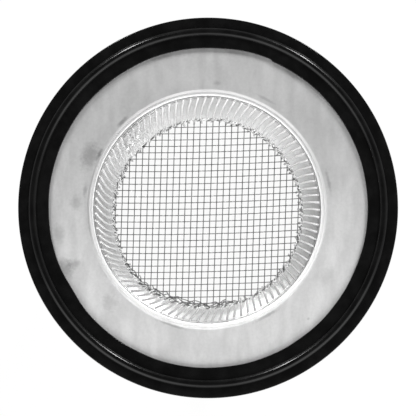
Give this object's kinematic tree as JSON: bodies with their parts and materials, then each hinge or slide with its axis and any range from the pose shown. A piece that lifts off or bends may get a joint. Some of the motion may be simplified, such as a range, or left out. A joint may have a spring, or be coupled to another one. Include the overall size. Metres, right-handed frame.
{
  "type": "sanitary clamp screen gasket",
  "caption": "Round rubber clamp-joint gasket moulded on a stainless plate, with a deep woven-wire strainer sock hung from the plate's hole.",
  "frame": {"origin": "middle of the underside of the sock's closed end, on the surface that the part stands on", "axes": "+Z along the sock's axis, from its closed end to the plate and its open mouth; +X and +Y are the picture's right and up; the sock's lap seam is at 130 degrees from +X towards +Y"},
  "size_m": [0.119, 0.119, 0.1036],
  "materials": {
    "black_rubber": "satin moulded rubber",
    "stainless_plate": "matte, slightly mottled sheet",
    "bright_stainless": "bright polished edge",
    "wire_cloth": "bright drawn wire"
  },
  "bodies": {
    "root": {"gasket_ring": "black_rubber", "plate": "stainless_plate", "sleeve": "bright_stainless", "sock_wall": "wire_cloth", "sock_end": "wire_cloth"}
  },
  "joints": []
}
